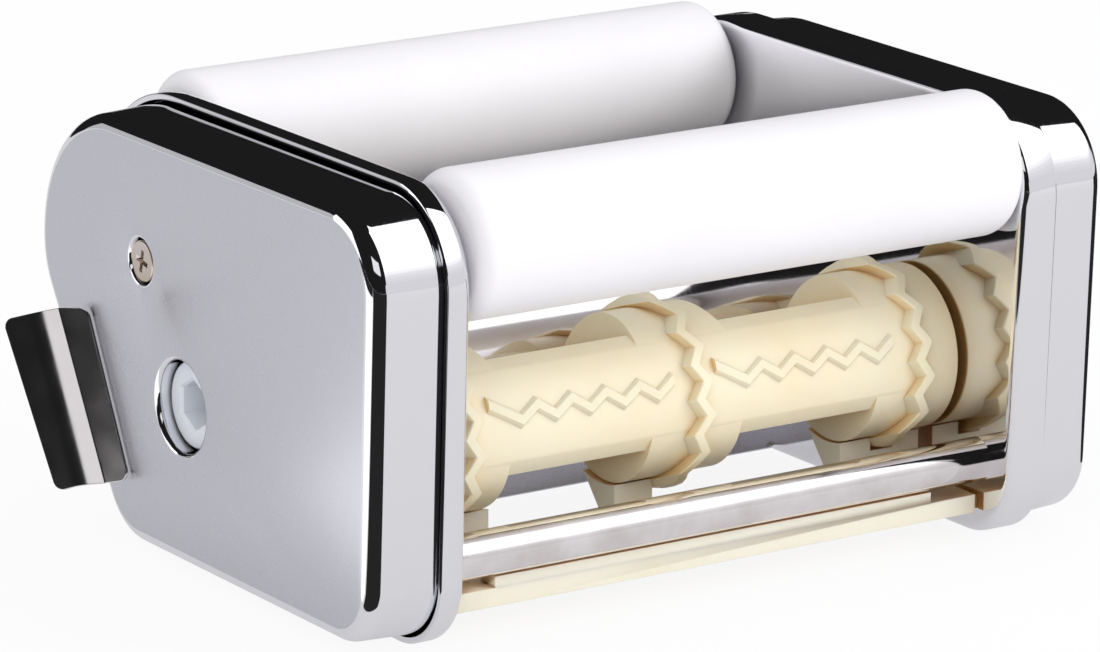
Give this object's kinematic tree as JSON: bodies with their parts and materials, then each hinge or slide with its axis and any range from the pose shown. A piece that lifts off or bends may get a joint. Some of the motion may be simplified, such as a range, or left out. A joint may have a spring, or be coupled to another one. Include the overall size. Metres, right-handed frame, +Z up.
{
  "type": "ravioli attachment for a pasta machine",
  "caption": "Metal attachment with two white feed rollers above a cream moulded forming roll and a smooth counter roller, turned by a removable crank through a side socket.",
  "frame": {"origin": "centre of the bounding box at the bottom plane on which the side frames stand", "axes": "+X to the right along the rolls seen from the front, -Y to the front, +Z up"},
  "size_m": [0.2286, 0.1592, 0.1083],
  "materials": {
    "cover_metal": "satin outer face with polished edges",
    "frame_metal": "mirror polished",
    "feed_plastic": "smooth white",
    "roll_plastic": "smooth cream",
    "rod_steel": "polished",
    "roller_steel": "ground and polished",
    "gear_steel": "machined",
    "bush_nylon": "moulded white",
    "screw_nickel": "nickel plated",
    "bracket_steel": "polished"
  },
  "bodies": {
    "housing": {"left_side_frame": "frame_metal", "right_side_frame": "frame_metal", "left_cover": "cover_metal", "right_cover": "cover_metal", "cover_posts": "gear_steel", "cover_screws": "screw_nickel", "front_feed_axle": "rod_steel", "rear_feed_axle": "rod_steel", "forming_roll_bushes": "bush_nylon", "counter_roller_bushes": "bush_nylon", "front_tie_rod": "rod_steel", "rear_tie_rod": "rod_steel", "rod_screws": "screw_nickel", "scraper_comb": "roll_plastic", "rear_guide_plate": "roller_steel", "left_mounting_bracket": "bracket_steel", "right_mounting_bracket": "bracket_steel"},
    "front_feed_roller_body": {"front_feed_roller": "feed_plastic"},
    "rear_feed_roller_body": {"rear_feed_roller": "feed_plastic"},
    "counter_roller_body": {"counter_roller": "roller_steel", "counter_roller_shaft": "rod_steel", "counter_roller_gear": "gear_steel", "crank_socket": "bush_nylon"},
    "forming_roll_body": {"forming_roll": "roll_plastic", "forming_roll_shaft": "rod_steel", "forming_roll_gear": "gear_steel"}
  },
  "joints": [
    {"name": "counter_roller_spin", "type": "hinge", "parent": "housing", "child": "counter_roller_body", "pos_m": [0, 0.0106, 0.0408], "axis": [1, 0, 0], "continuous": true},
    {"name": "forming_roll_spin", "type": "hinge", "parent": "housing", "child": "forming_roll_body", "pos_m": [0, -0.0354, 0.0408], "axis": [1, 0, 0], "continuous": true},
    {"name": "front_feed_spin", "type": "hinge", "parent": "housing", "child": "front_feed_roller_body", "pos_m": [0, -0.0624, 0.0911], "axis": [1, 0, 0], "continuous": true},
    {"name": "rear_feed_spin", "type": "hinge", "parent": "housing", "child": "rear_feed_roller_body", "pos_m": [0, 0.0525, 0.0911], "axis": [1, 0, 0], "continuous": true}
  ],
  "couplings": [
    {"joint": "forming_roll_spin", "follows": "counter_roller_spin", "ratio": -1.1905}
  ]
}
